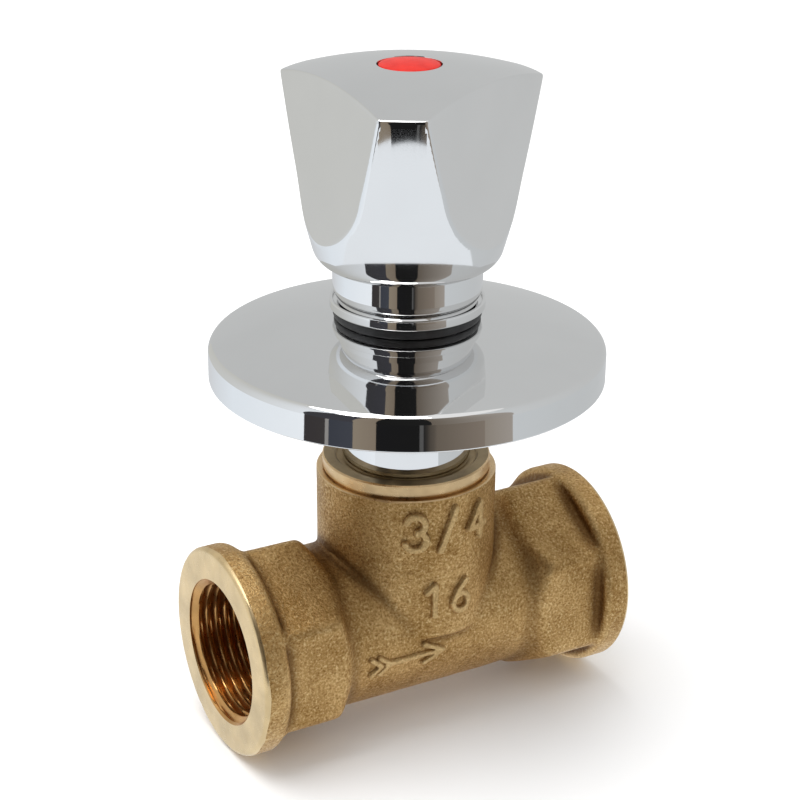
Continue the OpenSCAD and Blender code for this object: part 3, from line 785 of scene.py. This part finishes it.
def build_marks(cast):
    """The nominal size and pressure as plain numbers, and the flow arrow."""
    raised_mark("size_mark", cast, NECK_R, (-0.4, 22.6), (21, 9.8), digit_strokes("3/4", 6.5, 6.0),
                1.3, 0.75, True)
    raised_mark("pressure_mark", cast, NECK_R, (-0.5, 9.0), (12, 8.8), digit_strokes("16", 5.9, 5.2),
                1.15, 0.7, True)
    arrow = [[(-4.3, 0.0), (7.0, 0.0)], [(3.4, 1.9), (7.2, 0.0), (3.4, -1.9)],
             [(-7.3, 1.6), (-5.3, 0.0), (-7.3, -1.6)], [(-5.6, 1.6), (-3.6, 0.0), (-5.6, -1.6)]]
    raised_mark("flow_arrow", cast, RUN_R, (-7.9, -1.8), (18, 6.2), arrow, 1.0, 0.6, False)



# ---------------------------------------------------------------- sleeve, seal and rosette

def build_sleeve(metal):
    profile = rounded(
        [(SLEEVE_IN_R, SLEEVE_LOW_Z), (SLEEVE_R, SLEEVE_LOW_Z), (SLEEVE_R, LIP_Z), (LIP_R, LIP_Z),
         (LIP_R, LIP_TOP_Z), (LIP_IN_R, LIP_TOP_Z), (LIP_IN_R, LIP_FLOOR_Z), (SLEEVE_IN_R, LIP_FLOOR_Z)],
        [0.1, 0.25, 0.3, 0.35, 0.2, 0.15, 0.2, 0.1])
    return lathe_object("sleeve_tube", profile, 192, [metal], body="valve", slot="chrome", replaces=("sleeve",))


def build_seal(black):
    bulge = 0.12
    profile = [(SLEEVE_R + 0.05, SEAL_LOW_Z)] + arc((SEAL_R - 0.5, SEAL_LOW_Z + 0.4), 0.4, -90, -10, 5)
    mid = (SEAL_LOW_Z + SEAL_TOP_Z) / 2
    profile += [(SEAL_R - bulge * 0.2, mid - 0.3), (SEAL_R, mid), (SEAL_R - bulge * 0.2, mid + 0.3)]
    profile += arc((SEAL_R - 0.5, SEAL_TOP_Z - 0.4), 0.4, 10, 90, 5) + [(SLEEVE_R + 0.05, SEAL_TOP_Z)]
    return lathe_object("seal_ring_black", profile, 160, [black], body="seal_ring", slot="black_rubber",
                        replaces=("rosette_seal",), crease=50)


def ball_arc(radius, r_from, r_to, steps):
    """Points on the rosette's dome from one radius to another."""
    rs = np.linspace(r_from, r_to, steps + 1)
    return [(r, ROSETTE_BALL_Z + math.sqrt(radius * radius - r * r)) for r in rs]


def build_rosette(metal):
    """Pressed and plated dome: upright edge, rounded into the dome, with a flat collar at the centre."""
    outer_c = (ROSETTE_R - ROSETTE_ROUND,
               ROSETTE_BALL_Z + math.sqrt((ROSETTE_BALL_R - ROSETTE_ROUND) ** 2 - (ROSETTE_R - ROSETTE_ROUND) ** 2))
    lean = math.degrees(math.atan2(outer_c[1] - ROSETTE_BALL_Z, outer_c[0]))
    inner_ball = ROSETTE_BALL_R - ROSETTE_SHEET
    inner_r = ROSETTE_R - ROSETTE_SHEET
    touch_r = outer_c[0] + ROSETTE_ROUND * math.cos(math.radians(lean))
    low_in = outer_c[0] + (ROSETTE_ROUND - ROSETTE_SHEET) * math.cos(math.radians(lean))
    profile = [(inner_r + 0.05, ROSETTE_LOW_Z + 0.25), (inner_r + 0.3, ROSETTE_LOW_Z)]
    profile += arc((ROSETTE_R - 0.3, ROSETTE_LOW_Z + 0.3), 0.3, -90, 0, 5)
    profile += arc(outer_c, ROSETTE_ROUND, 0, lean, 10)
    profile += ball_arc(ROSETTE_BALL_R, touch_r - 0.2, COLLAR_R + 0.1, 60)
    profile += [(COLLAR_R, COLLAR_TOP_Z - 0.2)] + arc((COLLAR_R - 0.2, COLLAR_TOP_Z - 0.2), 0.2, 0, 90, 4)
    profile += [(ROSETTE_BORE_R + 0.1, COLLAR_TOP_Z), (ROSETTE_BORE_R, COLLAR_TOP_Z - 0.1)]
    profile += ball_arc(inner_ball, ROSETTE_BORE_R, low_in - 0.1, 40)
    profile += arc(outer_c, ROSETTE_ROUND - ROSETTE_SHEET, lean, 0, 5)
    return lathe_object("rosette_dome", profile, 288, [metal], crease=40, body="rosette", slot="chrome",
                        replaces=("rosette",))


# ---------------------------------------------------------------- handle and cap

def bowl_profile_distance(r, z):
    """Distance to the round form of the handle: bowl-shaped underside and the cone above it."""
    run, rise = RIM_R - BOWL_START_R, RIM_Z - BOWL_Z - BOWL_ROUND
    lean = math.atan2(run, rise) - math.asin(BOWL_ROUND / math.hypot(run, rise))
    cone = (r - BOWL_START_R) * math.cos(lean) - (z - BOWL_Z - BOWL_ROUND) * math.sin(lean) - BOWL_ROUND
    cone = smooth_max(cone, r - RIM_R, CROWN_SOFT)
    bowl = np.hypot(np.maximum(r - BOWL_START_R, 0), z - BOWL_Z - BOWL_ROUND) - BOWL_ROUND
    along = (r - BOWL_START_R) * math.sin(lean) + (z - BOWL_Z - BOWL_ROUND) * math.cos(lean)
    return np.where(along > 0, cone, np.where(r < BOWL_START_R, BOWL_Z - z, bowl))


def handle_distance(x, y, z):
    """Outside of the handle: the round form cut by three flat sides and closed by a domed top."""
    form = bowl_profile_distance(np.hypot(x, y), z)
    for k in range(3):
        a = FRONT_CORNER + math.pi / 3 + k * 2 * math.pi / 3
        run_out = SIDE_FLARE * smooth_max(SIDE_FLARE_Z - z, 0, FLARE_SOFT)
        form = round_max(form, x * math.cos(a) + y * math.sin(a) - SIDE_D - run_out, HANDLE_EDGE)
    rise = DOME_TOP_Z - RIM_Z
    ball = (RIM_R * RIM_R + rise * rise) / (2 * rise)
    dome = np.sqrt(x * x + y * y + (z - DOME_TOP_Z + ball) ** 2) - ball
    return round_max(form, dome, HANDLE_EDGE)


def ray_hits(distance, origin_z, angle, lift, reach=40.0):
    """Where rays from the handle's axis leave the form, by halving."""
    direction = np.stack([np.cos(angle) * np.cos(lift), np.sin(angle) * np.cos(lift), np.sin(lift)], -1)
    near, far = np.zeros(angle.shape), np.full(angle.shape, reach)
    start = np.array([0, 0, origin_z])
    for _ in range(42):
        half = (near + far) / 2
        p = start + direction * half[..., None]
        out = distance(p[..., 0], p[..., 1], p[..., 2]) > 0
        far = np.where(out, half, far)
        near = np.where(out, near, half)
    return start + direction * ((near + far) / 2)[..., None]


def build_handle(metal):
    """One closed shell: skirt, bowl, cone and flat sides, domed top, cap recess, screw well and hollow inside."""
    columns, origin = 432, 84.0
    angles = FRONT_CORNER + np.linspace(0, 2 * math.pi, columns, endpoint=False)
    low = math.atan2(BOWL_Z + 0.026 - origin, SKIRT_R)
    high = math.atan2(101.38 - origin, RECESS_R + 0.25)
    sweep = np.linspace(math.radians(15), math.radians(60), 400)
    a, s = np.meshgrid(angles, sweep, indexing="ij")
    hits = ray_hits(handle_distance, origin, a, s)
    radial = np.hypot(hits[..., 0], hits[..., 1])
    slope = np.diff(hits[..., 2], axis=1) / (np.abs(np.diff(radial, axis=1)) + 1e-6)
    rim = sweep[np.argmax(slope < 1.0, axis=1)]
    side_steps = np.concatenate([np.linspace(0, 0.16, 26)[:-1], np.linspace(0.16, 0.95, 62)[:-1],
                                 np.linspace(0.95, 1.0, 8)])
    top_steps = np.concatenate([np.linspace(0, 0.07, 8)[1:], np.linspace(0.07, 1.0, 44)[1:]])
    lifts = np.concatenate([low + (rim[:, None] - low) * side_steps, rim[:, None] + (high - rim[:, None]) * top_steps],
                           axis=1)
    grid = ray_hits(handle_distance, origin, np.repeat(angles[:, None], lifts.shape[1], 1), lifts)
    normal_grid = gradient(handle_distance, grid.reshape(-1, 3), 0.004).reshape(grid.shape)
    before = rounded([(SKIRT_IN_R, SKIRT_LOW_Z), (SKIRT_FOOT_R, SKIRT_LOW_Z), (SKIRT_R, SKIRT_CHAMFER_Z),
                      (SKIRT_R, BOWL_Z + 0.02), (SKIRT_IN_R, BOWL_Z + 0.02)], [0.1, 0.15, 0.3, 0, 0])[:-1]
    after = [(RECESS_R + 0.07, None), (RECESS_R, None), (RECESS_R, RECESS_Z), (WELL_R, RECESS_Z), (WELL_R, WELL_Z),
             (2.5, WELL_Z), (2.5, WELL_Z - 1.5), (5.6, WELL_Z - 1.5), (5.6, 74.5), (8.0, 74.5), (8.0, 96.4),
             (12.4, 96.4), (11.6, BOWL_Z + 2.2), (SKIRT_IN_R, BOWL_Z + 2.2)]
    top_z = float(grid[:, -1, 2].mean())
    after = [(r, top_z - 0.04 if z is None and r > RECESS_R else top_z - 0.25 if z is None else z) for r, z in after]
    ring = lambda r, z: np.stack([r * np.cos(angles), r * np.sin(angles), np.full(columns, z)], 1)
    body_rings = [grid[:, j] for j in range(grid.shape[1])]
    rings = [ring(r, z) for r, z in before] + body_rings + [ring(r, z) for r, z in after]
    verts = np.concatenate(rings)
    faces = []
    total = len(rings)
    index = np.arange(columns)
    following = (index + 1) % columns
    for j in range(total):
        a0, b0 = j * columns, ((j + 1) % total) * columns
        faces.append(np.stack([a0 + index, a0 + following, b0 + following, b0 + index], 1))
    faces = np.concatenate(faces)
    obj = mesh_object("handle_shell", verts, faces, [metal], "turning_set", "handle_chrome", ("handle",), crease=40)
    set_form_normals(obj.data, len(before) * columns, normal_grid.transpose(1, 0, 2).reshape(-1, 3))
    return obj


def set_form_normals(mesh, first, normals):
    """Gives a run of vertices the form's exact normals, so that reflections stay clean."""
    corners = np.empty(len(mesh.loops), np.int32)
    mesh.loops.foreach_get("vertex_index", corners)
    split = np.empty(len(mesh.loops) * 3, np.float32)
    mesh.corner_normals.foreach_get("vector", split)
    split = split.reshape(-1, 3)
    last = first + len(normals)
    inside = (corners >= first) & (corners < last)
    face_start = np.empty(len(mesh.polygons), np.int32)
    mesh.polygons.foreach_get("loop_start", face_start)
    whole = np.zeros(len(mesh.loops), bool)
    for k in range(4):
        part = inside[face_start + k]
        whole_face = part if k == 0 else whole_face & part
    for k in range(4):
        whole[face_start + k] = whole_face
    split[whole] = normals[corners[whole] - first]
    mesh.normals_split_custom_set(split.tolist())


def build_cap(red):
    ball_z = CAP_TOP_Z - CAP_BALL_R
    edge_z = ball_z + math.sqrt(CAP_BALL_R ** 2 - (CAP_R - 0.25) ** 2) - 0.06
    profile = [(0.0, CAP_TOP_Z)]
    profile += [(r, ball_z + math.sqrt(CAP_BALL_R ** 2 - r * r)) for r in np.linspace(0.4, CAP_R - 0.32, 16)]
    profile += arc((CAP_R - 0.25, edge_z - 0.22), 0.25, 72, 0, 5)
    profile += [(CAP_R, RECESS_Z), (WELL_R - 0.03, RECESS_Z), (WELL_R - 0.03, CAP_STEM_Z), (0.0, CAP_STEM_Z)]
    return lathe_object("cap_red", profile, 96, [red], body="turning_set", slot="index_red",
                        replaces=("index_cap",), crease=40)


# ---------------------------------------------------------------- carried-over CAD nodes

def dress_cad_nodes(materials):
    """Gives every CAD node that stays shown the finish of its slot."""
    slots = {part["node"]: part["material_slot"] for part in frame["record"]["subparts"]}
    for name, node in frame["nodes"].items():
        for place in node.material_slots:
            place.material = materials[slots[name]]


# ---------------------------------------------------------------- camera, floor and light

def build_camera():
    """The camera fitted to the photograph: azimuth, elevation, roll, focal length in pixels and place."""
    azimuth, elevation, roll, focal, distance, off_x, off_y = -29.519, 23.115, 0.428, 2003.482, 371.076, -0.884, 37.582
    a, e, t = (math.radians(v) for v in (azimuth, elevation, roll))
    back = np.array([math.sin(a) * math.cos(e), -math.cos(a) * math.cos(e), math.sin(e)])
    right = np.cross(-back, [0, 0, 1])
    right /= np.linalg.norm(right)
    up = np.cross(right, -back)
    across = math.cos(t) * right + math.sin(t) * up
    above = -math.sin(t) * right + math.cos(t) * up
    data = bpy.data.cameras.new("camera")
    data.sensor_width = 36.0
    data.lens = focal / 800 * 36.0
    data.clip_start, data.clip_end = 0.01, 100
    camera = bpy.data.objects.new("camera", data)
    bpy.context.scene.collection.objects.link(camera)
    place = (back * distance + across * off_x + above * off_y) * MM
    camera.matrix_world = Matrix((
        (across[0], above[0], back[0], place[0]),
        (across[1], above[1], back[1], place[1]),
        (across[2], above[2], back[2], place[2]),
        (0, 0, 0, 1)))
    bpy.context.scene.camera = camera


def build_floor():
    n = Nodes("studio_floor")
    n.set(Base_Color=(0.93, 0.93, 0.93, 1), Roughness=0.9)
    n.shader.inputs["Specular IOR Level"].default_value = 0.1
    mesh = bpy.data.meshes.new("studio_floor")
    half = 8.0
    z = FLOOR_Z * MM
    mesh.from_pydata([(-half, -half, z), (half, -half, z), (half, half, z), (-half, half, z)], [], [(0, 1, 2, 3)])
    mesh.materials.append(n.material)
    floor = bpy.data.objects.new("studio_floor", mesh)
    bpy.context.scene.collection.objects.link(floor)


# Studio surroundings that only reflections see. Mats lie on the floor and walls stand round the object, both by
# compass angle in degrees: from, to, colour at each end, then the mat's inner radius or the wall's height.
WARM, MILK, SNOW = (0.60, 0.60, 0.565), (0.86, 0.92, 0.98), (0.95, 1.00, 1.05)
MATS = [
    (-2, 60, (0.59, 0.61, 0.62), (0.58, 0.59, 0.60), 118),
    (60, 92, (0.58, 0.59, 0.60), (0.67, 0.69, 0.715), 118),
    (92, 132, (0.67, 0.69, 0.715), MILK, 118),
    (132, 186, MILK, SNOW, 118),
    (186, 198, (0.045, 0.04, 0.042), (0.05, 0.045, 0.045), 155),
    (198, 200, (0.30, 0.29, 0.28), (0.30, 0.29, 0.28), 155),
    (200, 213, (0.05, 0.055, 0.07), (0.06, 0.065, 0.08), 155),
    (213, 225, (0.28, 0.235, 0.18), (0.24, 0.195, 0.15), 134),
    (225, 247, (0.012, 0.012, 0.013), (0.012, 0.012, 0.012), 132),
    (247, 249, (0.10, 0.10, 0.10), (0.10, 0.10, 0.10), 132),
    (249, 256, (0.02, 0.02, 0.02), (0.15, 0.125, 0.10), 132),
    (256, 281, (0.15, 0.125, 0.10), (0.24, 0.20, 0.165), 155),
    (281, 297, (0.30, 0.265, 0.225), (0.38, 0.345, 0.31), 155),
    (297, 358, (0.62, 0.65, 0.67), (0.59, 0.61, 0.62), 118),
]
WALLS = [
    (-2, 92, (0.60, 0.61, 0.61), (0.57, 0.58, 0.58), 620),
    (92, 132, WARM, (0.66, 0.67, 0.66), 620),
    (132, 186, (0.66, 0.67, 0.66), (0.86, 0.90, 0.94), 620),
    (186, 213, (0.05, 0.05, 0.055), (0.055, 0.055, 0.065), 480),
    (213, 225, (0.28, 0.235, 0.18), (0.24, 0.195, 0.15), 620),
    (225, 253, (0.012, 0.012, 0.012), (0.015, 0.015, 0.015), 640),
    (253, 297, (0.15, 0.125, 0.10), (0.38, 0.345, 0.31), 600),
    (297, 358, (0.64, 0.66, 0.67), (0.60, 0.61, 0.61), 620),
]
NEAR_TONE, NEAR_MAT_IN = (0.88, 0.92, 0.96), 30
WALL_RADIUS = 300.0


def build_surroundings():
    """Curved cards round the object, unseen by the camera, that give the chrome something to mirror."""
    material = bpy.data.materials.new("studio_cards")
    material.use_nodes = True
    tree = material.node_tree
    tree.nodes.clear()
    tone = tree.nodes.new("ShaderNodeAttribute")
    tone.attribute_name = "tone"
    glow = tree.nodes.new("ShaderNodeEmission")
    out = tree.nodes.new("ShaderNodeOutputMaterial")
    tree.links.new(tone.outputs["Color"], glow.inputs["Color"])
    tree.links.new(glow.outputs[0], out.inputs["Surface"])
    floor_z = FLOOR_Z + 0.4
    cards = [(mat, [(mat[4], floor_z), (WALL_RADIUS, floor_z)]) for mat in MATS]
    cards += [(wall, [(WALL_RADIUS, floor_z), (WALL_RADIUS, wall[4])]) for wall in WALLS]
    for start, end, _, _, inner in MATS:
        near = (start, end, NEAR_TONE, NEAR_TONE, inner)
        cards.append((near, [(NEAR_MAT_IN, floor_z), (inner, floor_z)]))
    for number, ((start, end, first, last, _), profile) in enumerate(cards):
        steps = max(2, int((end - start) / 3))
        verts, tones = [], []
        for i in range(steps + 1):
            share = i / steps
            a = math.radians(start + (end - start) * share)
            for r, z in profile:
                verts.append((r * math.cos(a) * MM, r * math.sin(a) * MM, z * MM))
                tones.append([p + (q - p) * share for p, q in zip(first, last)] + [1.0])
        faces = [(2 * i, 2 * i + 2, 2 * i + 3, 2 * i + 1) for i in range(steps)]
        mesh = bpy.data.meshes.new(f"card_{number}")
        mesh.from_pydata(verts, [], faces)
        mesh.materials.append(material)
        layer = mesh.attributes.new("tone", "FLOAT_COLOR", "POINT")
        layer.data.foreach_set("color", np.array(tones, np.float32).ravel())
        card = bpy.data.objects.new(f"card_{number}", mesh)
        bpy.context.scene.collection.objects.link(card)
        card.visible_camera = card.visible_shadow = card.visible_diffuse = False


def area_light(name, place, target, size, power, colour=(1, 1, 1)):
    data = bpy.data.lights.new(name, "AREA")
    data.shape = "RECTANGLE"
    data.size, data.size_y = size
    data.energy = power
    data.color = colour
    light = bpy.data.objects.new(name, data)
    light.location = place
    light.rotation_mode = "QUATERNION"
    light.rotation_quaternion = (Vector(target) - Vector(place)).to_track_quat("-Z", "Y")
    bpy.context.scene.collection.objects.link(light)
    return light


def build_light():
    world = bpy.data.worlds.new("studio")
    world.use_nodes = True
    background = world.node_tree.nodes["Background"]
    background.inputs["Color"].default_value = (1, 1, 1, 1)
    background.inputs["Strength"].default_value = 0.9
    bpy.context.scene.world = world
    area_light("top_light", (-0.3, 0.1, 1.1), (0, 0, 0.03), (0.9, 0.9), 9)


def main():
    bpy.context.scene.view_settings.view_transform = "Standard"
    bpy.context.scene.view_settings.look = "None"
    build_camera()
    brass = turned_brass("turned_brass", "z", (0.40, 0.29, 0.15), (0.30, 0.45))
    plate, handle_plate = chrome("chrome"), chrome("handle_chrome", rough=0.04, wave=0.008)
    black, red = rubber("black_rubber"), red_plastic()
    body, cast = build_body()
    dress_cad_nodes({"cast_brass": cast, "turned_brass": brass, "fibre_seal": fibre(), "black_rubber": black,
                     "slip_plastic": slip_plastic(), "steel": steel(), "chrome": plate,
                     "handle_chrome": handle_plate, "index_red": red})
    build_marks(cast)
    build_sleeve(plate)
    build_seal(black)
    build_rosette(plate)
    build_handle(handle_plate)
    build_cap(red)
    build_floor()
    build_surroundings()
    build_light()


main()
